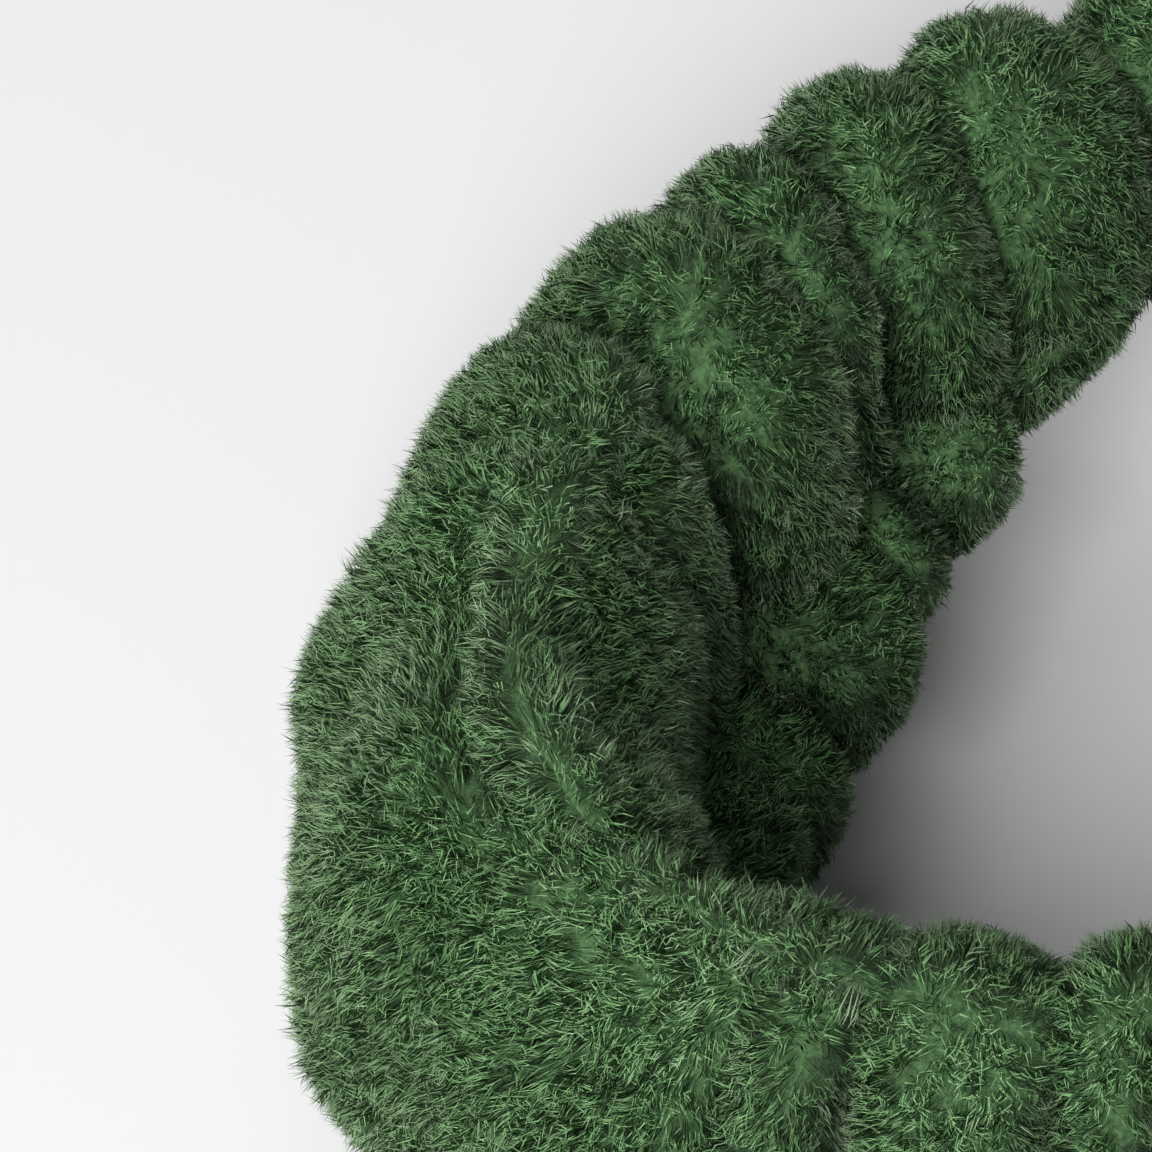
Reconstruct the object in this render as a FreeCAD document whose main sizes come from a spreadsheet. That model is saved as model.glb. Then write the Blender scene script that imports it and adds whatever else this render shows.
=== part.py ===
"""Knotted plush headband, standing on the lower edge of its band.

The ring is a D in plan: a straight front that runs through the knot, a tight bend at each side and a rounded
back. Plush covers with a soft filling make the front and the bends. A ruched casing over a flat elastic closes
the back.

Millimetres. +Z is up, +Y runs from the knot to the back, and +X is to the right, seen from in front of the knot.
The origin is on the surface that the band stands on, under the middle of the whole headband.
"""

import FreeCAD
import Part
import Sketcher
import os
from math import pi

# Each station is a cross-section of the left half of the ring, from the knot round to the back: the place of
# its middle (x, y), the turn of its outer face from the front in degrees, its thickness, lowest and highest point.
STATIONS = {
    "knotmid": (-0.7, -47.5, 0.0, 29.0, 22.0, 52.4),
    "neck": (-20.0, -47.5, 0.0, 29.0, 22.0, 52.4),
    "front": (-38.0, -47.5, 0.0, 30.0, -2.5, 74.0),
    "frontside": (-60.0, -46.5, 8.0, 30.0, -2.5, 74.0),
    "corner": (-80.5, -37.0, 45.0, 33.0, -2.5, 72.0),
    "cheek": (-88.5, -19.0, 80.0, 36.5, -2.5, 69.5),
    "side": (-89.5, -5.2, 91.0, 38.0, -2.5, 67.5),
    "seam": (-89.5, -4.0, 91.0, 38.0, -2.5, 67.5),
    "flank": (-84.0, 15.0, 112.0, 38.0, 1.0, 65.0),
    "hip": (-69.0, 35.0, 131.0, 35.0, 6.5, 61.0),
    "shoulder": (-47.0, 50.5, 150.0, 32.0, 13.5, 57.5),
    "back": (-23.0, 59.5, 166.0, 30.5, 18.5, 55.0),
    "rear": (0.0, 62.5, 180.0, 30.0, 20.0, 54.0),
}
STATION_SIZES = ("x", "y", "turn", "thick", "low", "high")

COVER_RUN = ("knotmid", "neck", "front", "frontside", "corner", "cheek", "side")
FILLED_RUN = ("front", "frontside", "corner", "cheek", "side")
STRIP_RUN = ("frontside", "corner", "cheek")
CASING_RUN = ("seam", "flank", "hip", "shoulder", "back", "rear")

SIZES = {
    "coverwall": 6.0,  # plush and its backing round the filling
    "waddinggap": 0.5,  # air between the filling and the cover
    "waddinglift": 6.0,  # height of the filling above the closing seam
    "waddingstart": 2.0,  # gap between the knot's end of the hollow and the filling
    "waddingstop": 12.0,  # gap between the filling and the side seam
    "stripelift": 0.6,  # height of a closing seam's allowance above the floor of the hollow
    "channelhalf": 3.0,  # half thickness of the hollow in the casing
    "channelhigh": 31.0,  # height of the hollow in the casing
    "elastichalf": 0.8,  # half thickness of the flat elastic
    "elastichigh": 20.0,  # width of the flat elastic
    "elastictail": 6.0,  # length of elastic past the side seam
    "tailturn": 90.0,  # the tails lie straight along the side
    "stripehalf": 0.6,  # half thickness of a closing seam's allowance
    "stripehigh": 4.0,  # width of a closing seam's allowance
    "threadwide": 1.2,  # width of a row of thread
    "threadthick": 0.8,  # thickness of a row of thread
    "seaminset": 5.0,  # depth of a row of thread below the plush
    "tackthick": 0.7,  # size of a bar tack: across the band, along it and up
    "tacklong": 2.5,
    "tackhigh": 16.0,
    "tackgap": 0.2,  # room between a tack and the middle of the elastic's face
    "tackinset": 0.5,  # length of elastic past the tack
    "wrapbore": 15.7,  # radius of the wrap's hole, clear of the gathered neck
    "wrapshoulder": 25.0,  # radius of the wrap at its ends
    "wrapcrown": 30.0,  # radius of the wrap at its middle
    "wraphalf": 18.0,  # half length of the wrap along the band
    "wraproll": 13.0,  # half length of the wrap's rounded outer face
    "wrapseamhalf": 12.0,  # half length of the row of thread that closes the wrap
    "wrapseamdeep": 1.6,  # depth of the groove for that row
    "wrapsoft": 2.0,  # softened corner where the wrap's hole opens
    "grooveroom": 0.2,  # room round the row of thread in its groove
    "blockreach": 300.0,  # a block that trims a piece reaches this far
}

doc = FreeCAD.newDocument("KnottedHeadband")


def fill_sheet():
    """Puts every driving size in the sheet, under its own name."""
    sheet = doc.addObject("Spreadsheet::Sheet", "Sizes")
    row = 1
    named = dict(SIZES)
    for station, values in STATIONS.items():
        for what, value in zip(STATION_SIZES, values):
            named[station + what] = value
    for name, value in named.items():
        sheet.set(f"A{row}", name)
        sheet.set(f"B{row}", str(value))
        sheet.setAlias(f"B{row}", name)
        row += 1
    doc.recompute()
    return sheet


def origin_plane(body, role):
    """The body's own origin plane with that role."""
    return next(f for f in body.Origin.OriginFeatures if f.Role == role)


def new_body(label):
    body = doc.addObject("PartDesign::Body", label)
    body.Label = label
    return body


def upright_sketch(body, name, east, north, turn):
    """A sketch on a vertical plane: its X points out of the ring at that turn, its Y points up."""
    sketch = body.newObject("Sketcher::SketchObject", name)
    sketch.AttachmentSupport = (origin_plane(body, "XZ_Plane"), [""])
    sketch.MapMode = "FlatFace"
    upright = FreeCAD.Vector(0, 1, 0)
    sketch.AttachmentOffset = FreeCAD.Placement(FreeCAD.Vector(), FreeCAD.Rotation(upright, 1))
    sketch.setExpression("AttachmentOffset.Base.x", east)
    sketch.setExpression("AttachmentOffset.Base.z", f"-({north})")
    sketch.setExpression("AttachmentOffset.Rotation.Angle", f"-(90 + ({turn})) * 1 deg")
    return sketch


def draw_stadium(sketch, half, low, high):
    """A closed outline of two half circles and two upright lines, between the heights low and high."""
    radius, bottom, top = 10.0, 0.0, 40.0
    up = FreeCAD.Vector(0, 0, 1)
    lower_circle = Part.Circle(FreeCAD.Vector(0, bottom, 0), up, radius)
    upper_circle = Part.Circle(FreeCAD.Vector(0, top, 0), up, radius)
    lower_right, upper_right = FreeCAD.Vector(radius, bottom, 0), FreeCAD.Vector(radius, top, 0)
    upper_left, lower_left = FreeCAD.Vector(-radius, top, 0), FreeCAD.Vector(-radius, bottom, 0)
    outer = sketch.addGeometry(Part.LineSegment(lower_right, upper_right))
    over = sketch.addGeometry(Part.ArcOfCircle(upper_circle, 0, pi))
    inner = sketch.addGeometry(Part.LineSegment(upper_left, lower_left))
    under = sketch.addGeometry(Part.ArcOfCircle(lower_circle, pi, 2 * pi))
    loop = (outer, over, inner, under)
    for this, following in zip(loop, loop[1:] + loop[:1]):
        sketch.addConstraint(Sketcher.Constraint("Tangent", this, 2, following, 1))
    for arc in (over, under):
        sketch.addConstraint(Sketcher.Constraint("PointOnObject", arc, 3, -2))
        bind(sketch, Sketcher.Constraint("Radius", arc, radius), half)
    bind(sketch, Sketcher.Constraint("DistanceY", -1, 1, under, 3, bottom + 1), f"{low} + ({half})")
    bind(sketch, Sketcher.Constraint("DistanceY", -1, 1, over, 3, top), f"{high} - ({half})")


def bind(sketch, constraint, expression):
    """Adds a size to the sketch and ties it to the sheet."""
    at = sketch.addConstraint(constraint)
    sketch.setExpression(f"Constraints[{at}]", expression)


def draw_outline(sketch, corners):
    """A closed outline of straight lines through corners, each a pair of expressions (across, up)."""
    start = [FreeCAD.Vector(10 * i, 10 + 7 * (i % 2), 0) for i in range(len(corners))]
    lines = [
        sketch.addGeometry(Part.LineSegment(start[i], start[(i + 1) % len(start)]))
        for i in range(len(start))
    ]
    for this, following in zip(lines, lines[1:] + lines[:1]):
        sketch.addConstraint(Sketcher.Constraint("Coincident", this, 2, following, 1))
    for line, (across, up) in zip(lines, corners):
        bind(sketch, Sketcher.Constraint("DistanceX", -1, 1, line, 1, 1), across)
        bind(sketch, Sketcher.Constraint("DistanceY", -1, 1, line, 1, 1), up)


def station_sketches(body, run, sides, half, low, high):
    """One stadium outline at each station of the run. half, low and high take the station's name as {0}."""
    sketches = []
    for station, side in zip(run, sides):
        hand = "left" if side > 0 else "right"
        name = f"{body.Name}_{station}_{hand}_{len(body.Group)}"
        place = [f"({side}) * Sizes.{station}x", f"Sizes.{station}y", f"({side}) * Sizes.{station}turn"]
        sketch = upright_sketch(body, name, *place)
        draw_stadium(sketch, half.format(station), low.format(station), high.format(station))
        sketches.append(sketch)
    return sketches


def loft(body, kind, name, sketches):
    """A solid, or hollow, ruled straight from each outline to the next."""
    feature = body.newObject(f"PartDesign::{kind}", name)
    feature.Ruled = True
    feature.Profile = sketches[0]
    feature.Sections = sketches[1:]
    return feature


def both_halves(run):
    """The run's stations on the left and then back along the right: names and sides (1 left, -1 right)."""
    names = run + run[-2::-1]
    sides = (1,) * len(run) + (-1,) * (len(run) - 1)
    return names, sides


def cut_block(body, name, west, south, bottom, size):
    """Cuts a block away from the body. Its corner and its three sizes are expressions."""
    block = body.newObject("PartDesign::SubtractiveBox", name)
    for side, length in zip(("Length", "Width", "Height"), size):
        block.setExpression(side, length)
    for axis, start in zip("xyz", (west, south, bottom)):
        block.setExpression(f"Placement.Base.{axis}", start)
    return block


def flatten_underside(body):
    """Presses the underside flat where the band stands on its edge: cuts away what is below zero."""
    reach = "Sizes.blockreach"
    size = (f"2 * {reach}", f"2 * {reach}", reach)
    cut_block(body, f"{body.Name}_underside", f"-{reach}", f"-{reach}", f"-{reach}", size)


PLUSH_HALF = "Sizes.{0}thick / 2"
PLUSH_LOW = "Sizes.{0}low"
PLUSH_HIGH = "Sizes.{0}high"
MIDDLE = "(Sizes.{0}low + Sizes.{0}high) / 2"
HOLLOW_HALF = "(Sizes.{0}thick / 2 - Sizes.coverwall)"
HOLLOW_LOW = "Sizes.{0}low + Sizes.coverwall"
HOLLOW_HIGH = "Sizes.{0}high - Sizes.coverwall"


def front_cover(label, side):
    """Plush tube from the middle of the knot to the side seam, hollow where it is filled."""
    body = new_body(label)
    sides = (side,) * len(COVER_RUN)
    outside = station_sketches(body, COVER_RUN, sides, PLUSH_HALF, PLUSH_LOW, PLUSH_HIGH)
    loft(body, "AdditiveLoft", f"{label}_plush", outside)
    inside = station_sketches(body, FILLED_RUN, sides, HOLLOW_HALF, HOLLOW_LOW, HOLLOW_HIGH)
    loft(body, "SubtractiveLoft", f"{label}_hollow", inside)
    flatten_underside(body)
    return body


def wadding(label, side):
    """Soft filling strip inside a front cover, cut short of both ends of the hollow."""
    body = new_body(label)
    half = f"({HOLLOW_HALF} - Sizes.waddinggap)"
    low = f"{HOLLOW_LOW} + Sizes.waddinglift"
    high = f"{HOLLOW_HIGH} - Sizes.waddinggap"
    outlines = station_sketches(body, FILLED_RUN, (side,) * len(FILLED_RUN), half, low, high)
    loft(body, "AdditiveLoft", f"{label}_filling", outlines)
    reach = "Sizes.blockreach"
    size = (f"2 * {reach}", reach, reach)
    cut_block(body, f"{label}_stop", f"-{reach}", "Sizes.sidey - Sizes.waddingstop", "0", size)
    size = ("2 * (Sizes.waddingstart - Sizes.frontx)", reach, reach)
    cut_block(body, f"{label}_start", "Sizes.frontx - Sizes.waddingstart", f"-{reach}", "0", size)
    return body


def cover_seam(label, side):
    """The closing seam along the inside of a front cover's lower edge."""
    body = new_body(label)
    low = f"{HOLLOW_LOW} + Sizes.stripelift"
    high = f"{low} + Sizes.stripehigh"
    strip = station_sketches(body, STRIP_RUN, (side,) * len(STRIP_RUN), "Sizes.stripehalf", low, high)
    loft(body, "AdditiveLoft", f"{label}_strip", strip)
    return body


def rear_casing():
    """Ruched plush tube round the back, with a hollow for the elastic along it."""
    body = new_body("rear_casing")
    names, sides = both_halves(CASING_RUN)
    outside = station_sketches(body, names, sides, PLUSH_HALF, PLUSH_LOW, PLUSH_HIGH)
    loft(body, "AdditiveLoft", "rear_casing_plush", outside)
    low = f"{MIDDLE} - Sizes.channelhigh / 2"
    high = f"{MIDDLE} + Sizes.channelhigh / 2"
    inside = station_sketches(body, names, sides, "Sizes.channelhalf", low, high)
    loft(body, "SubtractiveLoft", "rear_casing_channel", inside)
    flatten_underside(body)
    return body


def casing_seam():
    """The closing seam along the inside of the casing, below the elastic."""
    body = new_body("casing_seam")
    names, sides = both_halves(CASING_RUN)
    low = f"{MIDDLE} - Sizes.channelhigh / 2 + Sizes.stripelift"
    high = f"{low} + Sizes.stripehigh"
    strip = station_sketches(body, names, sides, "Sizes.stripehalf", low, high)
    loft(body, "AdditiveLoft", "casing_seam_strip", strip)
    return body


def elastic_strip():
    """Flat elastic through the casing; its tails go on past both side seams."""
    body = new_body("elastic_strip")
    names, sides = both_halves(CASING_RUN)
    low = f"{MIDDLE} - Sizes.elastichigh / 2"
    high = f"{MIDDLE} + Sizes.elastichigh / 2"
    half = "Sizes.elastichalf"
    outlines = station_sketches(body, names, sides, half, low, high)
    loft(body, "AdditiveLoft", "elastic_band", outlines)
    for side, hand in ((1, "left"), (-1, "right")):
        ends = []
        for place, north in (("seam", "Sizes.seamy"), ("end", "Sizes.seamy - Sizes.elastictail")):
            turn = f"({side}) * Sizes.tailturn"
            end = upright_sketch(body, f"elastic_tail_{hand}_{place}", f"({side}) * Sizes.seamx", north, turn)
            draw_stadium(end, half, low.format("seam"), high.format("seam"))
            ends.append(end)
        loft(body, "AdditiveLoft", f"elastic_tail_{hand}", ends)
    return body


def thread_ring(label, station, side):
    """A flat ring of thread between two pieces of plush, sewn a little below their surface."""
    body = new_body(label)
    place = [f"({side}) * Sizes.{station}x", f"Sizes.{station}y", f"({side}) * Sizes.{station}turn"]
    sketch = upright_sketch(body, f"{label}_outline", *place)
    for inset in ("Sizes.seaminset", "(Sizes.seaminset + Sizes.threadwide)"):
        half = f"Sizes.{station}thick / 2 - {inset}"
        draw_stadium(sketch, half, f"Sizes.{station}low + {inset}", f"Sizes.{station}high - {inset}")
    ring = body.newObject("PartDesign::Pad", f"{label}_thread")
    ring.Profile = sketch
    ring.setExpression("Length", "Sizes.threadthick")
    ring.SideType = "Symmetric"
    return body


def side_seam(label, side):
    """The row of thread that joins a front cover to the casing."""
    body = thread_ring(label, "side", side)
    body.setExpression("Placement.Base.y", "(Sizes.seamy - Sizes.sidey) / 2")
    return body


def elastic_tack(label, side):
    """The bar tack that holds one end of the elastic, flat against its outer face."""
    tack = doc.addObject("Part::Box", label)
    tack.Label = label
    tack.setExpression("Length", "Sizes.tackthick")
    tack.setExpression("Width", "Sizes.tacklong")
    tack.setExpression("Height", "Sizes.tackhigh")
    beside = "(Sizes.elastichalf + Sizes.tackgap)"
    if side > 0:
        east = f"Sizes.seamx - {beside} - Sizes.tackthick"
    else:
        east = f"-Sizes.seamx + {beside}"
    tack.setExpression("Placement.Base.x", east)
    tack.setExpression("Placement.Base.y", "Sizes.seamy - Sizes.elastictail + Sizes.tackinset")
    tack.setExpression("Placement.Base.z", "(Sizes.seamlow + Sizes.seamhigh - Sizes.tackhigh) / 2")
    return tack


def knot_wrap():
    """Plush wrap of the knot: a fat rounded ring round the gathered middle of the band."""
    body = new_body("knot_wrap")
    sketch = body.newObject("Sketcher::SketchObject", "wrap_outline")
    sketch.AttachmentSupport = (origin_plane(body, "XZ_Plane"), [""])
    sketch.MapMode = "FlatFace"
    sketch.setExpression("AttachmentOffset.Base.y", "(Sizes.necklow + Sizes.neckhigh) / 2")
    sketch.setExpression("AttachmentOffset.Base.z", "-Sizes.necky")
    soft, half, roll = "Sizes.wrapsoft", "Sizes.wraphalf", "Sizes.wraproll"
    bore, crown, shoulder = "Sizes.wrapbore", "Sizes.wrapcrown", "Sizes.wrapshoulder"
    right_side = (
        (f"{half} - {soft}", bore),
        (half, f"{bore} + {soft}"),
        (half, f"({bore} + {shoulder}) / 2"),
        (roll, f"{shoulder} + {soft}"),
        (f"{roll} / 2", crown),
    )
    left_side = tuple((f"-({across})", up) for across, up in right_side[::-1])
    draw_outline(sketch, right_side + left_side)
    turned = body.newObject("PartDesign::Revolution", "wrap_plush")
    turned.Profile = sketch
    turned.ReferenceAxis = (sketch, ["H_Axis"])
    turned.Angle = 360
    room = "Sizes.grooveroom"
    size = (
        f"2 * (Sizes.wrapseamhalf + {room})",
        "2 * Sizes.wrapseamdeep",
        f"Sizes.threadwide + 2 * {room}",
    )
    south = "Sizes.necky + Sizes.wrapshoulder + Sizes.threadthick - Sizes.wrapseamdeep"
    bottom = f"(Sizes.necklow + Sizes.neckhigh - Sizes.threadwide) / 2 - {room}"
    cut_block(body, "wrap_groove", f"-Sizes.wrapseamhalf - {room}", south, bottom, size)
    return body


def knot_wrap_seam():
    """The row of thread that closes the wrap, in its groove on the side of the head."""
    seam = doc.addObject("Part::Box", "knot_wrap_seam")
    seam.Label = "knot_wrap_seam"
    seam.setExpression("Length", "2 * Sizes.wrapseamhalf")
    seam.setExpression("Width", "Sizes.threadthick")
    seam.setExpression("Height", "Sizes.threadwide")
    seam.setExpression("Placement.Base.x", "-Sizes.wrapseamhalf")
    groove_floor = "Sizes.necky + Sizes.wrapshoulder + Sizes.threadthick - Sizes.wrapseamdeep"
    seam.setExpression("Placement.Base.y", f"{groove_floor} + Sizes.grooveroom")
    seam.setExpression("Placement.Base.z", "(Sizes.necklow + Sizes.neckhigh - Sizes.threadwide) / 2")
    return seam


def centre_join_seam():
    """The row of thread between the two covers, hidden inside the wrap."""
    body = thread_ring("centre_join_seam", "knotmid", 1)
    body.setExpression("Placement.Base.x", "-Sizes.knotmidx")
    return body


def faults(parts):
    """Every object that didn't build, and every part whose shape is missing or broken."""
    found = [o.Name for o in doc.Objects if "Invalid" in o.State or "Error" in o.State]
    found += [p.Label for p in parts if p.Shape.isNull() or not p.Shape.isValid() or not p.Shape.Solids]
    return found


def main():
    fill_sheet()
    parts = []
    for hand, side in (("left", 1), ("right", -1)):
        parts.append(front_cover(f"front_cover_{hand}", side))
        parts.append(wadding(f"wadding_{hand}", side))
        parts.append(cover_seam(f"cover_seam_{hand}", side))
        parts.append(side_seam(f"side_seam_{hand}", side))
        parts.append(elastic_tack(f"elastic_tack_{hand}", side))
    parts += [rear_casing(), casing_seam(), elastic_strip()]
    parts += [knot_wrap(), knot_wrap_seam(), centre_join_seam()]
    doc.recompute()
    broken = faults(parts)
    if broken:
        raise SystemExit(f"these did not build: {broken}")
    os.makedirs("parts", exist_ok=True)
    for part in parts:
        print(f"{part.Label:18} {part.Shape.Volume / 1000:8.2f} cm3")
        part.Shape.exportStep(f"parts/{part.Label}.step")


main()
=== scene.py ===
"""The looks of the knotted headband: green plush tubes, gathered behind and wrapped by a knot in front.

Lengths are written in millimetres, and MM turns them into Blender's metres where a mesh is made.
A place along the band is u, the distance from the middle of the knot round by the left side.
A place round the band's section is v: 0 faces outwards, a quarter turn up, half a turn inwards.
"""

import math

import bpy
import numpy as np
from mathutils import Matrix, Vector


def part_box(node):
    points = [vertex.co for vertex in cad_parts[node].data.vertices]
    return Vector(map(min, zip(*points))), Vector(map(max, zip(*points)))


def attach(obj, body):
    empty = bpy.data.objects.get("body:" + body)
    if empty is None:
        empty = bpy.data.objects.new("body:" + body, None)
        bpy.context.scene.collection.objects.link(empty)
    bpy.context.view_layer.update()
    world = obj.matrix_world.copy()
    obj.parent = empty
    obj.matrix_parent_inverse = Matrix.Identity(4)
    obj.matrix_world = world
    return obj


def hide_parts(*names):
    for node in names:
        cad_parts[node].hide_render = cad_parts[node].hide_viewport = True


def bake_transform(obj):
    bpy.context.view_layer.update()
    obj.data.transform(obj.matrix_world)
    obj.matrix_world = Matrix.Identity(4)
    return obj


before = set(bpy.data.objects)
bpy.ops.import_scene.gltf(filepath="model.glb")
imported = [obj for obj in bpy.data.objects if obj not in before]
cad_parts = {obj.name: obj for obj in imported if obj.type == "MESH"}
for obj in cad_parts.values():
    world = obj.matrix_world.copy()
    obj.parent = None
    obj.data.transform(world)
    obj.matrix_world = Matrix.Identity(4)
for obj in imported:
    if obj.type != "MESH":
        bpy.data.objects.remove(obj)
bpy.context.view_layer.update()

MM = 0.001
UP = np.array([0.0, 0.0, 1.0])


def cad_middle(node):
    """The middle of a CAD node's box, in millimetres."""
    low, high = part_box(node)
    return (np.array(low) + np.array(high)) / 2 / MM


KNOT_CENTRE = cad_middle("knot_wrap")
FRONT_Y = KNOT_CENTRE[1]
SEAM_Y = cad_middle("side_seam_left")[1]

# ---------------------------------------------------------------- the band's course and section

# Left half, from the middle of the knot to the middle of the back. turn is where the outer side faces,
# in degrees from the front. On the inner side, tuck draws the upper part in, groove is the channel that
# the elastic pulls along the middle, and roll is how far the lower part swells out. On the outer side,
# barrel is how much the top and the foot stand back from the middle.
#  x, y, turn, thick, low, high, tuck, groove, roll, barrel
STATIONS = (
    (0.0, FRONT_Y, 0, 29.0, 22.0, 52.4, 0.0, 0.0, 0.0, 0.0),
    (-20.0, FRONT_Y, 0, 29.0, 22.0, 52.4, 0.0, 0.0, 0.0, 0.0),
    (-38.0, FRONT_Y, 0, 29.5, -2.0, 74.5, 1.0, 0.0, 0.0, 1.0),
    (-60.0, FRONT_Y + 1.0, 8, 29.5, -2.0, 74.5, 1.5, 0.5, 0.0, 2.5),
    (-79.5, FRONT_Y + 11.0, 45, 32.5, -1.0, 72.5, 4.5, 2.0, 0.5, 7.0),
    (-89.7, FRONT_Y + 28.5, 80, 39.5, -1.0, 70.0, 6.0, 3.0, 0.0, 5.0),
    (-90.5, SEAM_Y, 91, 40.5, -1.0, 66.5, 6.0, 4.0, 1.5, 6.0),
    (-84.0, 15.5, 112, 38.0, 0.5, 64.0, 5.0, 5.0, 4.0, 3.5),
    (-69.5, 36.0, 131, 36.0, 6.5, 61.0, 3.0, 5.5, 3.0, 0.5),
    (-47.5, 52.0, 150, 30.0, 16.5, 57.5, 2.5, 4.0, -3.5, 0.0),
    (-23.0, 60.8, 166, 26.5, 22.0, 54.5, 1.0, 1.5, -3.0, 0.5),
    (0.0, 63.5, 180, 27.0, 22.5, 53.5, 0.0, 1.0, 0.0, 0.5),
)
# A smaller FLATNESS makes the section's corners squarer. FOOT_TAPER is how much further the foot stands
# back than the top. PILE_DEPTH is how far the cloth lies under the section's outline, to leave room for
# the pile, and BACKING_DEPTH is the same for the cloth's own mesh, which hides the roots.
FLATNESS = 0.12
FOOT_TAPER = 1.7
PILE_DEPTH = 3.0
BACKING_DEPTH = 3.4

MIRRORED = np.array([-1, 1, -1, 1, 1, 1, 1, 1, 1, 1])
HALF_TURN_ON = np.array([0, 0, 360, 0, 0, 0, 0, 0, 0, 0])


def whole_loop(left):
    """The stations of both halves in one closed course, with the distance along it."""
    left = np.array(left)
    right = left[-2::-1] * MIRRORED + HALF_TURN_ON
    rows = np.vstack([left, right])
    steps = np.hypot(np.diff(rows[:, 0]), np.diff(rows[:, 1]))
    return np.concatenate([[0.0], np.cumsum(steps)]), rows


COURSE_U, COURSE = whole_loop(STATIONS)
SLOPES = np.gradient(COURSE, COURSE_U, axis=0)
SLOPES[0] = SLOPES[-1] = (COURSE[1] - COURSE[0]) / COURSE_U[1]
LOOP = COURSE_U[-1]
SEAM_U = COURSE_U[6]
WRAP_HALF = 18.0


def course(u):
    """The course's values at distance u, on a smooth curve through the stations."""
    i = np.clip(np.searchsorted(COURSE_U, u, side="right") - 1, 0, len(COURSE_U) - 2)
    gap = (COURSE_U[i + 1] - COURSE_U[i])[..., None]
    t = (u - COURSE_U[i])[..., None] / gap
    start = (1 + 2 * t) * (1 - t) ** 2 * COURSE[i] + t * (1 - t) ** 2 * gap * SLOPES[i]
    end = t * t * (3 - 2 * t) * COURSE[i + 1] + t * t * (t - 1) * gap * SLOPES[i + 1]
    return np.moveaxis(start + end, -1, 0)


def ramp(value, low, high):
    """0 below low, 1 above high and smooth between."""
    t = np.clip((value - low) / (high - low), 0, 1)
    return t * t * (3 - 2 * t)


def waves(points, size, seed):
    """Smooth noise of about -1 to 1 whose bumps are about size across."""
    draw = np.random.default_rng(seed)
    total = np.zeros(points.shape[:-1])
    count = 7
    for _ in range(count):
        direction = draw.normal(size=3)
        direction /= np.linalg.norm(direction)
        pace = math.pi / size * draw.uniform(0.7, 1.5)
        total += np.sin(points @ direction * pace + draw.uniform(0, 2 * math.pi))
    return total / math.sqrt(count) / 1.2


# ---------------------------------------------------------------- gathers and folds

# How far from the side seam each gather crosses the band, how deep it is outside, on top, inside and
# underneath, how far it slants forward on the outer side, and how wide it is.
BACK_GATHERS = (
    (14.0, 1.2, 1.4, 2.0, 2.5, 2.0, 2.2),
    (28.0, 3.6, 6.0, 8.0, 5.0, 4.0, 2.4),
    (43.0, 5.5, 3.8, 3.0, 4.0, 2.0, 2.0),
    (52.0, 5.5, 5.5, 7.5, 4.5, 3.0, 2.2),
    (64.0, 5.5, 4.0, 4.0, 4.5, 2.0, 2.1),
    (80.0, 5.0, 5.0, 6.0, 3.5, -1.0, 2.3),
    (95.0, 4.6, 3.6, 4.0, 3.5, 2.0, 2.1),
    (107.0, 4.2, 4.4, 5.5, 3.5, -2.0, 2.2),
    (120.0, 4.6, 3.4, 4.5, 3.5, 1.0, 2.2),
)
# The same for the front, but the distance is from the middle of the knot.
FRONT_GATHERS = (
    (25.0, 2.0, 2.0, 2.0, 2.0, 2.0, 2.0),
    (35.5, 2.4, 2.0, 2.4, 2.4, 2.0, 2.4),
    (46.5, 8.0, 2.2, 1.6, 3.0, 0.0, 1.6),
    (54.5, 8.5, 2.4, 1.6, 3.0, 0.5, 1.6),
    (67.5, 8.0, 2.0, 1.2, 2.4, 1.0, 1.6),
    (74.0, 4.0, 1.0, 0.8, 1.2, 2.0, 1.5),
    (91.0, 0.0, 2.6, 7.5, 2.0, 6.0, 2.4),
)


def both_sides(gathers, from_knot):
    """Each gather as a place along the loop, on the left as listed and on the right a little different."""
    draw = np.random.default_rng(5)
    found = []
    for place, *depths, slant, width in gathers:
        u = place if from_knot else SEAM_U + place
        found.append((u, np.array(depths), slant, width))
        shifted = LOOP - u - draw.uniform(-2.2, 2.2)
        found.append((shifted, np.array(depths) * draw.uniform(0.8, 1.2), -slant, width))
    return found


GATHERS = both_sides(BACK_GATHERS, False) + both_sides(FRONT_GATHERS, True)


def gathered(u, cos_v, sin_v):
    """How far the gathers draw the cloth in."""
    sides = (np.maximum(cos_v, 0) ** 2, np.maximum(sin_v, 0) ** 2)
    sides += (np.maximum(-cos_v, 0) ** 2, np.maximum(-sin_v, 0) ** 2)
    drawn = np.zeros(np.broadcast(u, cos_v).shape)
    for place, depths, slant, width in GATHERS:
        depth = sum(amount * side for amount, side in zip(depths, sides))
        away = (u - place - slant * cos_v) / width
        drawn += depth * np.exp(0.3 - np.sqrt(away * away + 0.09))
    return drawn


def knot_pleats(u, v):
    """Pleats that run into the knot and fade out on the band."""
    away = np.minimum(u, LOOP - u) - WRAP_HALF
    fade = ramp(away, -6, 3) * (1 - ramp(away, 6, 30))
    return 1.9 * fade * np.sin(7 * v + 1.3 * np.sin(2 * v) + 0.8)


def corner_crease(u, cos_v, sin_v):
    """The short crease along the top of each front corner, just in front of the side seam."""
    from_seam = np.minimum(u, LOOP - u) - SEAM_U
    span = ramp(from_seam, -22, -14) * (1 - ramp(from_seam, 2, 14))
    return 3.4 * span * np.exp(-(((cos_v - 0.60) / 0.10) ** 2)) * ramp(sin_v, 0.2, 0.5)


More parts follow.
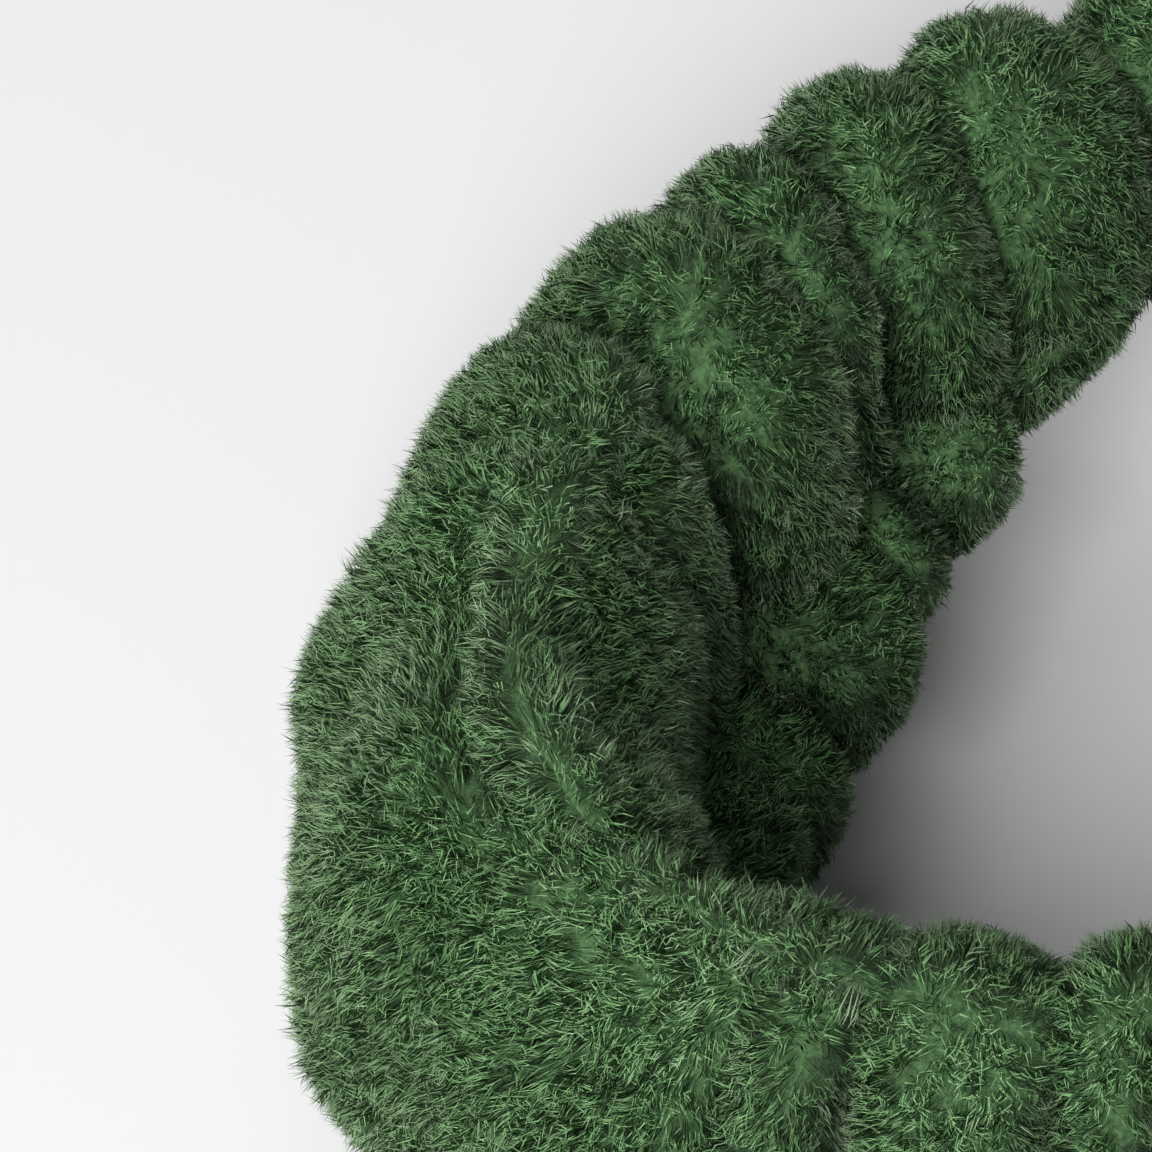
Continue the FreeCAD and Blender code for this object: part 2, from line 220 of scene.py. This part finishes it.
def cloth(u, v, inset=PILE_DEPTH):
    """The cloth's points at u and v, in millimetres, which are arrays of the same shape."""
    x, y, turn, thick, low, high, tuck, groove, roll, barrel = course(u)
    turn = np.radians(turn)
    outward = np.stack([-np.sin(turn), -np.cos(turn), np.zeros_like(turn)], axis=-1)
    cos_v, sin_v = np.cos(v), np.sin(v)
    radius = thick / 2 - inset
    straight = (high - low) / 2 - inset - radius
    level = sin_v * np.sqrt((1 + FLATNESS) / (sin_v ** 2 + FLATNESS))
    across = radius * cos_v
    rise = radius * sin_v + straight * level
    inner = ramp(-cos_v, 0.0, 0.5)
    middle = np.stack([x, y, (low + high) / 2], axis=-1)
    flat = middle + outward * across[..., None] + UP * rise[..., None]
    bumps = 0.9 * waves(flat, 15, 11) + 0.35 * waves(flat, 6, 12)
    puff = 0.9 * ramp(np.minimum(u, LOOP - u), SEAM_U, SEAM_U + 20)
    push = puff + bumps + knot_pleats(u, v) - gathered(u, cos_v, sin_v)
    push -= corner_crease(u, cos_v, sin_v)
    push *= ramp(np.minimum(u, LOOP - u), WRAP_HALF - 8, WRAP_HALF + 2) * 0.9 + 0.1
    tilt = np.stack([cos_v, sin_v * np.abs(sin_v)])
    tilt /= np.linalg.norm(tilt, axis=0)
    channel = groove * np.exp(-(((level + 0.1) / 0.17) ** 2))
    across = across - ramp(cos_v, 0.0, 0.5) * barrel * level ** 2 * np.where(level > 0, 1.0, FOOT_TAPER)
    across = across + inner * (tuck * ramp(level, -0.25, 0.25) + channel - roll * ramp(-level, 0.1, 0.5))
    return middle + outward * (across + push * tilt[0])[..., None] + UP * (rise + push * tilt[1])[..., None]


# ---------------------------------------------------------------- the knot's wrap

WRAP_BORE = 15.7
WRAP_CROWN = 30.0


def wrap(u, v, inset=PILE_DEPTH):
    """The wrap's points: u is the distance round the knot and v the place round the wrap's own section,
    0 on its crown and half a turn inside the bore."""
    around = u / WRAP_CROWN
    cos_v, sin_v = np.cos(v), -np.sin(v)
    power = 2 / 2.6
    middle = (WRAP_BORE + WRAP_CROWN) / 2
    half_deep = (WRAP_CROWN - WRAP_BORE) / 2 - inset * 0.5
    half_wide = WRAP_HALF + 1.5 - inset
    folds = 2.0 * np.exp(-(((sin_v - 0.34 - 0.16 * np.sin(around + 0.6)) / 0.13) ** 2))
    folds += 1.5 * np.exp(-(((sin_v + 0.36 + 0.14 * np.sin(2 * around)) / 0.12) ** 2))
    radius = middle - inset * 0.5 + half_deep * np.sign(cos_v) * np.abs(cos_v) ** power
    radius = radius - folds * np.maximum(cos_v, 0)
    along = half_wide * np.sign(sin_v) * np.abs(sin_v) ** power * (1 + 0.05 * np.sin(2 * around + 0.4))
    along = along + 1.2 * np.sin(around + 0.9)
    direction = np.stack([np.zeros_like(around), np.cos(around), np.sin(around)], axis=-1)
    flat = KNOT_CENTRE + direction * radius[..., None] + np.array([1.0, 0, 0]) * along[..., None]
    radius = radius + (0.7 * waves(flat, 12, 31) + 0.25 * waves(flat, 5, 32)) * np.maximum(cos_v, 0)
    return KNOT_CENTRE + direction * radius[..., None] + np.array([1.0, 0, 0]) * along[..., None]


# ---------------------------------------------------------------- materials


def set_sockets(shader, **values):
    """Sets a shader's sockets by name, with _ for a space."""
    for name, value in values.items():
        shader.inputs[name.replace("_", " ")].default_value = value


def new_material(name):
    """A material with a bare Principled shader."""
    material = bpy.data.materials.new(name)
    material.use_nodes = True
    return material, material.node_tree.nodes["Principled BSDF"], material.node_tree


def pile_material(name, colour):
    """Plush pile in one colour: matt fibres with a soft sheen."""
    material, shader, _ = new_material(name)
    set_sockets(shader, Base_Color=(*colour, 1), Roughness=0.72, Specular_IOR_Level=0.25)
    set_sockets(shader, Sheen_Weight=0.35, Sheen_Roughness=0.45, Sheen_Tint=(0.62, 0.85, 0.52, 1))
    return material


def speckled(name, dark, light, size, bump, roughness=0.85, sheen=0.3):
    """Cloth whose colour and height vary with a fine noise."""
    material, shader, tree = new_material(name)
    place = tree.nodes.new("ShaderNodeTexCoord")
    noise = tree.nodes.new("ShaderNodeTexNoise")
    set_sockets(noise, Scale=1 / (size * MM), Detail=5, Roughness=0.6)
    colours = tree.nodes.new("ShaderNodeValToRGB")
    colours.color_ramp.elements[0].position = 0.3
    colours.color_ramp.elements[0].color = (*dark, 1)
    colours.color_ramp.elements[1].position = 0.7
    colours.color_ramp.elements[1].color = (*light, 1)
    relief = tree.nodes.new("ShaderNodeBump")
    set_sockets(relief, Strength=bump, Distance=size * MM * 0.4)
    tree.links.new(place.outputs["Object"], noise.inputs["Vector"])
    tree.links.new(noise.outputs["Fac"], colours.inputs["Fac"])
    tree.links.new(noise.outputs["Fac"], relief.inputs["Height"])
    tree.links.new(colours.outputs["Color"], shader.inputs["Base Color"])
    tree.links.new(relief.outputs["Normal"], shader.inputs["Normal"])
    set_sockets(shader, Roughness=roughness, Sheen_Weight=sheen, Sheen_Roughness=0.5)
    return material


def woven(name, dark, light, pitch):
    """Narrow woven elastic: ribs one way and picks the other."""
    material, shader, tree = new_material(name)
    place = tree.nodes.new("ShaderNodeTexCoord")
    ribs = []
    for axis in ("X", "Z"):
        wave = tree.nodes.new("ShaderNodeTexWave")
        wave.bands_direction = axis
        set_sockets(wave, Scale=0.3 / (pitch * MM), Distortion=0.4)
        tree.links.new(place.outputs["Object"], wave.inputs["Vector"])
        ribs.append(wave)
    mixed = tree.nodes.new("ShaderNodeMath")
    mixed.operation = "MULTIPLY"
    tree.links.new(ribs[0].outputs["Fac"], mixed.inputs[0])
    tree.links.new(ribs[1].outputs["Fac"], mixed.inputs[1])
    colours = tree.nodes.new("ShaderNodeValToRGB")
    colours.color_ramp.elements[0].color = (*dark, 1)
    colours.color_ramp.elements[1].color = (*light, 1)
    relief = tree.nodes.new("ShaderNodeBump")
    set_sockets(relief, Strength=0.5, Distance=pitch * MM * 0.3)
    tree.links.new(mixed.outputs[0], colours.inputs["Fac"])
    tree.links.new(mixed.outputs[0], relief.inputs["Height"])
    tree.links.new(colours.outputs["Color"], shader.inputs["Base Color"])
    tree.links.new(relief.outputs["Normal"], shader.inputs["Normal"])
    set_sockets(shader, Roughness=0.7)
    return material


BACKING = speckled("plush_backing", (0.02, 0.05, 0.018), (0.09, 0.19, 0.07), 0.5, 0.9, 0.95, 0.0)
FILLING = speckled("white_wadding", (0.62, 0.61, 0.58), (0.86, 0.85, 0.82), 2.5, 0.8)
ELASTIC = woven("woven_elastic", (0.45, 0.44, 0.41), (0.8, 0.79, 0.75), 1.2)
THREAD = speckled("green_thread", (0.02, 0.06, 0.02), (0.05, 0.12, 0.045), 0.3, 0.5, 0.55, 0.1)
# Tip colours: plain, dark and light at random, the dark one also used as painted shade in shallow gathers,
# and a darkest one that is painted shade deep in folds.
PILE_TIPS = ((0.18, 0.34, 0.145), (0.115, 0.245, 0.092), (0.25, 0.42, 0.205), (0.03, 0.075, 0.024))
# Each root colour is its tip colour times this, so the roots are painted darker: painted shade low in the
# pile.
PAINTED_ROOT_SHADE = (0.42, 0.50, 0.42)
PILE = []
for shade, tip in enumerate(PILE_TIPS):
    root = [channel * share for channel, share in zip(tip, PAINTED_ROOT_SHADE)]
    PILE.append(pile_material(f"pile_root_{shade}", root))
    PILE.append(pile_material(f"pile_tip_{shade}", tip))

# ---------------------------------------------------------------- meshes


def new_piece(name, points, faces, materials, slots=None, smooth=True):
    """A mesh object from points in millimetres and faces that all have the same number of corners."""
    mesh = bpy.data.meshes.new(name)
    mesh.vertices.add(len(points))
    mesh.vertices.foreach_set("co", (points * MM).astype(np.float32).ravel())
    mesh.loops.add(faces.size)
    mesh.loops.foreach_set("vertex_index", faces.astype(np.int32).ravel())
    mesh.polygons.add(len(faces))
    mesh.polygons.foreach_set("loop_start", np.arange(0, faces.size, faces.shape[1], dtype=np.int32))
    for material in materials:
        mesh.materials.append(material)
    if slots is not None:
        mesh.polygons.foreach_set("material_index", slots.astype(np.int32))
    mesh.update(calc_edges=True)
    mesh.polygons.foreach_set("use_smooth", np.full(len(faces), smooth))
    piece = bpy.data.objects.new(name, mesh)
    bpy.context.scene.collection.objects.link(piece)
    return piece


def grid_faces(rows, columns, closed):
    """Four-cornered faces of a grid whose rows close on themselves, and whose columns may too."""
    i = np.arange(rows if closed else rows - 1)[:, None]
    j = np.arange(columns)[None, :]
    after_i, after_j = (i + 1) % rows, (j + 1) % columns
    corners = (i * columns + j, after_i * columns + j, after_i * columns + after_j, i * columns + after_j)
    return np.stack([np.broadcast_to(c, (len(i), columns)).ravel() for c in corners], axis=1)


def tube(name, shape, span, rows, columns, material, closed=False, **how):
    """A closed cloth tube: the shape's surface over a span of u, with its ends drawn shut."""
    u = np.linspace(*span, rows, endpoint=not closed)
    v = np.linspace(0, 2 * math.pi, columns, endpoint=False)
    points = shape(*np.meshgrid(u, v, indexing="ij"), **how)
    if not closed:
        ends = [points[[end]].mean(axis=1, keepdims=True) for end in (0, -1)]
        ends = [np.repeat(end, columns, axis=1) for end in ends]
        shrunk = [end * 0.5 + points[[place]] * 0.5 for end, place in zip(ends, (0, -1))]
        points = np.concatenate([ends[0] * 0.98 + points[[0]] * 0.02, shrunk[0], points, shrunk[1],
                                 ends[1] * 0.98 + points[[-1]] * 0.02])
    return new_piece(name, points.reshape(-1, 3), grid_faces(len(points), columns, closed), [material])


# ---------------------------------------------------------------- pile

PILE_LENGTH = 2.9
STRANDS = 9
CLUMPS_PER_AREA = 2.05
MOST_BLADES = 95000
CLUMP_RADIUS = 0.34
ROOT_SUNK = 0.6
JUST_ABOVE_FLOOR = 0.1
BLADE_WIDTHS = (0.08, 0.13)
BLADE_FACES = np.array([[0, 2, 1], [1, 2, 3]])
# The knee is this far up a blade, and the bent end is this share of its length.
KNEE = 0.66
BEYOND_KNEE = 0.38
# Leans are in radians. UNRULY is how far each clump strays from the way its neighbours are combed.
LEAN_ON_TOP = 0.32
LEAN_ON_SIDE = 0.24
LEAN_SPREAD = 0.24
UNRULY = 0.75
# In a gather as deep as FULLY_CRUSHED the pile loses the share CRUSHED of its length.
CRUSHED = 0.5
FULLY_CRUSHED = 4
# Painted shade: each millimetre deep in a gather, a crease or on the head's side pushes a strand's colour
# this far towards the darker ones.
PAINTED_SHADE_PER_MM = 0.42
# Places in PILE_TIPS. The last is painted shade for pile deep in folds.
PLAIN, DARK, LIGHT, PAINTED_FOLD_SHADE = range(4)


def unit(vectors):
    """The vectors at length 1."""
    return vectors / np.maximum(np.linalg.norm(vectors, axis=-1, keepdims=True), 1e-9)


def scattered(shape, span, per_area, draw):
    """Places on a surface, even by area, as u and v."""
    u = np.linspace(*span, 220)
    v = np.linspace(0, 2 * math.pi, 160)
    grid = shape(*np.meshgrid(u, v, indexing="ij"))
    across, along = grid[1:, :-1] - grid[:-1, :-1], grid[:-1, 1:] - grid[:-1, :-1]
    area = np.linalg.norm(np.cross(across, along), axis=-1).ravel()
    count = int(area.sum() * per_area)
    cell = draw.choice(len(area), size=count, p=area / area.sum())
    row, column = np.divmod(cell, len(v) - 1)
    return (u[row] + draw.random(count) * (u[1] - u[0]), v[column] + draw.random(count) * (v[1] - v[0]))


def frames(shape, u, v):
    """Points and unit directions on a surface: along u, along v, and outwards."""
    step_u, step_v = 0.15, 0.012
    here = shape(u, v)
    along = unit(shape(u + step_u, v) - shape(u - step_u, v))
    across = unit(shape(u, v + step_v) - shape(u, v - step_v))
    outward = unit(np.cross(across, along))
    across = unit(np.cross(along, outward))
    return here, along, across, outward


def spread(values):
    """Each clump's value, once for each of its strands."""
    return np.repeat(values, STRANDS, axis=0)


def clumps(shape, span, draw, seed, keep, valleys):
    """Where each clump stands and its directions, which way it is combed, its length, its tip, and how
    deep in a gather it is."""
    u, v = scattered(shape, span, CLUMPS_PER_AREA, draw)
    if keep is not None:
        kept = keep(u, v)
        u, v = u[kept], v[kept]
    middle, along, across, outward = frames(shape, u, v)
    count = len(u)
    fall = -UP - outward * (outward @ -UP)[:, None]
    swirl = waves(middle, 17, seed + 1) * 1.9 + waves(middle, 5, seed + 2) * 0.8
    comb = along * np.sin(swirl)[:, None] * 0.6 + across * np.cos(swirl)[:, None] * 0.4 + fall * 0.6
    comb = comb + draw.normal(size=(count, 3)) * UNRULY
    comb = unit(comb - outward * np.sum(comb * outward, axis=1)[:, None])
    steep = np.linalg.norm(fall, axis=1)
    lean = (LEAN_ON_TOP + LEAN_ON_SIDE * steep) * (1 + 0.4 * waves(middle, 8, seed + 3))
    lean = lean + draw.normal(size=count) * LEAN_SPREAD
    lean = np.clip(lean, 0.0, 1.0)
    length = PILE_LENGTH * (1 + 0.08 * waves(middle, 4, seed + 4) + 0.10 * draw.normal(size=count))
    deep = np.zeros(count) if valleys is None else valleys(u, v)
    length = length * (1 - CRUSHED * np.clip(deep / FULLY_CRUSHED, 0, 1))
    tip = middle + length[:, None] * (outward * np.cos(lean)[:, None] + comb * np.sin(lean)[:, None])
    return (middle, along, across, outward), comb, length, tip, deep


def blades(stand, comb, length, tip, draw):
    """The four corners of each strand's blade, and the direction that it is shaded from. A blade is narrow
    at its root, widest at its knee, and bends over from there to its tip."""
    middle, along, across, outward = stand
    count = len(middle)
    total = count * STRANDS
    offset = draw.normal(size=(total, 2)) * CLUMP_RADIUS
    root = spread(middle) + spread(along) * offset[:, :1] + spread(across) * offset[:, 1:]
    own_length = (spread(length) * (1 + 0.08 * draw.normal(size=total)))[:, None]
    normal = spread(outward)
    heading = unit(spread(unit(tip - middle)) + draw.normal(size=(total, 3)) * 0.14)
    knee = root + heading * own_length * KNEE
    bend = spread(comb * 0.35 + draw.normal(size=(count, 3)) * 0.55)
    curl = unit(heading + bend + draw.normal(size=(total, 3)) * 0.3)
    tips = knee + curl * own_length * BEYOND_KNEE
    gathering = draw.uniform(0.1, 0.5, size=(total, 1))
    tips = tips * (1 - gathering) + (spread(tip) + bend * 0.6) * gathering
    root = root - normal * ROOT_SUNK
    side = unit(np.cross(tips - knee, draw.normal(size=(total, 3))))
    width = draw.uniform(*BLADE_WIDTHS, size=(total, 1)) / 2
    corners = np.stack([root, knee - side * width, knee + side * width, tips], axis=1)
    corners[..., 2] = np.maximum(corners[..., 2], JUST_ABOVE_FLOOR)
    tuft = spread(unit(unit(tip - middle) + draw.normal(size=(count, 3)) * 0.25))
    return corners, unit(normal * 0.55 + tuft * 0.75 - spread(comb) * 0.25)


def shades(middle, deep, draw, seed):
    """Which of the pile's colours each strand has: alike within a clump, and darker deep in a gather, which
    is painted shade.
    """
    total = len(middle) * STRANDS
    # Painted shade: the deeper a place, the darker its colour.
    shade = waves(middle, 1.4, seed + 5) * 0.6 + waves(middle, 7, seed + 6) * 0.3 - deep * PAINTED_SHADE_PER_MM
    shade = spread(shade)
    shade = shade + spread(draw.normal(size=len(middle))) * 0.3 + draw.normal(size=total) * 0.15
    dark = np.where(shade < -1.6, PAINTED_FOLD_SHADE, DARK)
    return np.where(shade > 0.5, LIGHT, np.where(shade < -0.5, dark, PLAIN))


def grow(name, shape, span, seed, keep=None, valleys=None):
    """Pile on a surface, in clumps of strands, as several pieces. keep says where it grows, and valleys
    how deep in a gather a place is, where the pile is crushed short and painted darker as painted shade."""
    draw = np.random.default_rng(seed)
    stand, comb, length, tip, deep = clumps(shape, span, draw, seed, keep, valleys)
    points, facing = blades(stand, comb, length, tip, draw)
    shade = shades(stand[0], deep, draw, seed)
    slots = shade[:, None] * 2 + np.array([0, 1])
    pieces = []
    for number, first in enumerate(range(0, len(points), MOST_BLADES), 1):
        part = slice(first, min(first + MOST_BLADES, len(points)))
        faces = np.arange(len(points[part]))[:, None, None] * 4 + BLADE_FACES
        piece = new_piece(f"{name}_{number}", points[part].reshape(-1, 3), faces.reshape(-1, 3), PILE,
                          slots[part].ravel())
        piece.data.normals_split_custom_set_from_vertices(np.repeat(facing[part], 4, axis=0))
        pieces.append(piece)
    return pieces


# ---------------------------------------------------------------- sewing


def stitches(name, centres, directions, length, radius):
    """Short rounded stitches of thread, one at each centre, as one piece."""
    sides, rings = 6, 5
    turn = np.linspace(0, 2 * math.pi, sides, endpoint=False)
    points, faces = [], []
    for centre, direction in zip(centres, directions):
        direction = direction / np.linalg.norm(direction)
        first = np.cross(direction, UP if abs(direction[2]) < 0.9 else np.array([1.0, 0, 0]))
        first = first / np.linalg.norm(first)
        second = np.cross(direction, first)
        start = len(points) * sides * rings
        places = np.linspace(-1, 1, rings)
        fat = radius * np.array([0.35, 0.9, 1.0, 0.9, 0.35])
        ring = np.cos(turn)[None, :, None] * first + np.sin(turn)[None, :, None] * second
        ring = ring * fat[:, None, None]
        points.append(centre + direction * (places * length / 2)[:, None, None] + ring)
        faces.append(grid_faces(rings, sides, False) + start)
    return new_piece(name, np.concatenate(points).reshape(-1, 3), np.concatenate(faces), [THREAD])


def stitched_ring(name, shape, u, count, inset):
    """A row of stitches round a section of the band."""
    v = np.linspace(0, 2 * math.pi, count, endpoint=False)
    ahead = shape(np.full(count, u), v + 0.01, inset=inset) - shape(np.full(count, u), v, inset=inset)
    centres = shape(np.full(count, u), v, inset=inset)
    gap = np.median(np.linalg.norm(np.roll(centres, -1, axis=0) - centres, axis=1))
    return stitches(name, centres, ahead, gap * 0.7, 0.35)


def stitched_line(name, shape, span, v, count, inset):
    """A row of stitches along the band."""
    u = np.linspace(*span, count)
    places = np.full(count, v)
    centres = shape(u, places, inset=inset)
    ahead = shape(u + 0.1, places, inset=inset) - centres
    gap = np.median(np.linalg.norm(np.diff(centres, axis=0), axis=1))
    return stitches(name, centres, ahead, gap * 0.7, 0.35)


# ---------------------------------------------------------------- putting it together


def stretching(piece):
    """The piece belongs to the gathered back behind the side seams; only its place is baked into its mesh."""
    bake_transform(piece)


def visible_front(u, v):
    """False inside the wrap, where pile would be crushed out of sight."""
    return np.minimum(u, LOOP - u) > WRAP_HALF - 4


# How much the head's side counts as pressed, and how much more its lower part does, in millimetres. The pile
# there is crushed shorter and painted darker, painted shade on the inner side and most of all low down.
INNER_CRUSH_AND_SHADE = 1.4
INNER_CRUSH_AND_SHADE_LOW = 1.6


def in_gathers(u, v):
    """How deep in a gather or the corner crease a place on the band is, in millimetres. The head's side
    counts as pressed, most of all low down: its pile is crushed shorter and painted darker there, which is
    painted shade.
    """
    cos_v, sin_v = np.cos(v), np.sin(v)
    inner_crush_and_shade = ramp(-cos_v, 0.0, 0.6) * (INNER_CRUSH_AND_SHADE + INNER_CRUSH_AND_SHADE_LOW * ramp(-sin_v, 0.0, 0.6))
    return gathered(u, cos_v, sin_v) + corner_crease(u, cos_v, sin_v) + inner_crush_and_shade


def outside_bore(u, v):
    """False on the inside of the wrap."""
    return np.cos(v) > -0.55


def build_front(side, span, seed):
    """One half of the front band: its cover, its pile and the filling and thread of that half."""
    cover = tube(f"cover_{side}", cloth, span, 300, 160, BACKING, inset=BACKING_DEPTH)
    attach(cover, "front_band")
    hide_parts(f"front_cover_{side}")
    filling = tube(f"filling_{side}", cloth, span, 70, 72, FILLING, inset=PILE_DEPTH + 3.5)
    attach(filling, "front_band")
    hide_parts(f"wadding_{side}")
    for piece in grow(f"pile_{side}", cloth, span, seed, visible_front, in_gathers):
        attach(piece, "front_band")
    closing = stitched_line(f"cover_thread_{side}", cloth, (span[0] + 3, span[1] - 3), 1.5 * math.pi, 34, 3.2)
    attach(closing, "front_band")
    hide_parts(f"cover_seam_{side}")


def build_back():
    """The gathered back: the casing, its pile, its closing thread and the elastic inside."""
    span = (SEAM_U, LOOP - SEAM_U)
    casing = tube("casing", cloth, span, 560, 144, BACKING, inset=BACKING_DEPTH)
    stretching(casing)
    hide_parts("rear_casing")
    for piece in grow("pile_back", cloth, span, 300, valleys=in_gathers):
        stretching(piece)
    closing = stitched_line("casing_thread", cloth, (span[0] + 3, span[1] - 3), 1.5 * math.pi, 70, 3.2)
    stretching(closing)
    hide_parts("casing_seam")
    u = np.linspace(span[0] + 1, span[1] - 1, 200)
    outer, inner = cloth(u, 0 * u), cloth(u, 0 * u + math.pi)
    middle, outward = (outer + inner) / 2, unit(outer - inner)
    width, thick = 13.0, 0.8
    section = ((-0.5, -0.5), (0.5, -0.5), (0.5, 0.5), (-0.5, 0.5))
    edges = [middle + outward * (a * thick) + UP * (b * width) for a, b in section]
    points = np.stack(edges, axis=1)
    faces = grid_faces(len(u), len(section), False)
    elastic = new_piece("elastic", points.reshape(-1, 3), faces, [ELASTIC], smooth=False)
    stretching(elastic)
    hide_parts("elastic_strip")


def build_knot():
    """The wrap of the knot and its pile; the thread that closes it behind is dressed with the sewing."""
    round_length = 2 * math.pi * WRAP_CROWN
    body = tube("wrap", wrap, (0, round_length), 300, 128, BACKING, closed=True, inset=BACKING_DEPTH)
    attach(body, "knot")
    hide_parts("knot_wrap")
    for piece in grow("pile_knot", wrap, (0, round_length), 500, outside_bore):
        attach(piece, "knot")


def build_sewing():
    """The rows of thread that join the covers and the casing."""
    for side, u in (("left", SEAM_U), ("right", LOOP - SEAM_U)):
        row = stitched_ring(f"seam_thread_{side}", cloth, u, 44, 2.8)
        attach(row, "front_band")
        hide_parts(f"side_seam_{side}")
    row = stitched_ring("centre_thread", cloth, 0.6, 26, 3.0)
    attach(row, "front_band")
    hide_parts("centre_join_seam")
    for name in ("elastic_tack_left", "elastic_tack_right", "knot_wrap_seam"):
        dress(name, THREAD)


def dress(node, material):
    """Gives a CAD node that stays its procedural material."""
    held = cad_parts[node]
    if not held.material_slots:
        held.data.materials.append(material)
    for holder in held.material_slots:
        holder.material = material


def build_stage():
    """A plain pale floor, soft light from the front left and from above, and the camera."""
    floor_mesh = bpy.data.meshes.new("floor")
    reach = 3.0
    floor_mesh.from_pydata([(-reach, -reach, 0), (reach, -reach, 0), (reach, reach, 0), (-reach, reach, 0)],
                           [], [(0, 1, 2, 3)])
    floor = bpy.data.objects.new("floor", floor_mesh)
    bpy.context.scene.collection.objects.link(floor)
    material, shader, _ = new_material("pale_floor")
    set_sockets(shader, Base_Color=(0.74, 0.74, 0.74, 1), Roughness=0.6, Specular_IOR_Level=0.2)
    floor_mesh.materials.append(material)
    scene = bpy.context.scene
    scene.view_settings.view_transform = "Standard"
    world = bpy.data.worlds.new("pale_room")
    world.use_nodes = True
    world.node_tree.nodes["Background"].inputs["Color"].default_value = (0.93, 0.94, 0.96, 1)
    world.node_tree.nodes["Background"].inputs["Strength"].default_value = 0.12
    scene.world = world
    add_light("window", (-0.42, -0.95, 1.02), 0.6, 24.5)
    add_light("ceiling", (-0.50, 0.38, 1.35), 1.2, 9.0)
    add_camera()


def look_at(thing, place, target):
    """Puts a light or camera at a place, facing the target."""
    direction = np.array(target) - np.array(place)
    thing.location = place
    thing.rotation_euler = (
        math.acos(-direction[2] / np.linalg.norm(direction)), 0, math.atan2(-direction[0], direction[1]))


def add_light(name, place, size, power):
    """A square soft light that faces the headband."""
    light = bpy.data.lights.new(name, "AREA")
    light.size = size
    light.energy = power
    lamp = bpy.data.objects.new(name, light)
    bpy.context.scene.collection.objects.link(lamp)
    look_at(lamp, place, (0, 0, 0.03))


CAMERA_TARGET = (-0.0864, 0.0181, 0.035)
CAMERA_DISTANCE = 0.600
CAMERA_ELEVATION = math.radians(53.64)
CAMERA_AZIMUTH = math.radians(-2.05)
LENS = 237.4


def add_camera():
    """The camera looks down on the left half of the headband from in front."""
    camera = bpy.data.objects.new("camera", bpy.data.cameras.new("camera"))
    bpy.context.scene.collection.objects.link(camera)
    level = math.cos(CAMERA_ELEVATION)
    offset = (math.sin(CAMERA_AZIMUTH) * level, -math.cos(CAMERA_AZIMUTH) * level, math.sin(CAMERA_ELEVATION))
    place = [t + o * CAMERA_DISTANCE for t, o in zip(CAMERA_TARGET, offset)]
    look_at(camera, place, CAMERA_TARGET)
    camera.data.lens = LENS
    camera.data.sensor_width = 36
    camera.data.clip_start = 0.01
    bpy.context.scene.camera = camera


build_front("left", (0.3, SEAM_U), 100)
build_front("right", (LOOP - SEAM_U, LOOP - 0.3), 200)
build_back()
build_knot()
build_sewing()
build_stage()
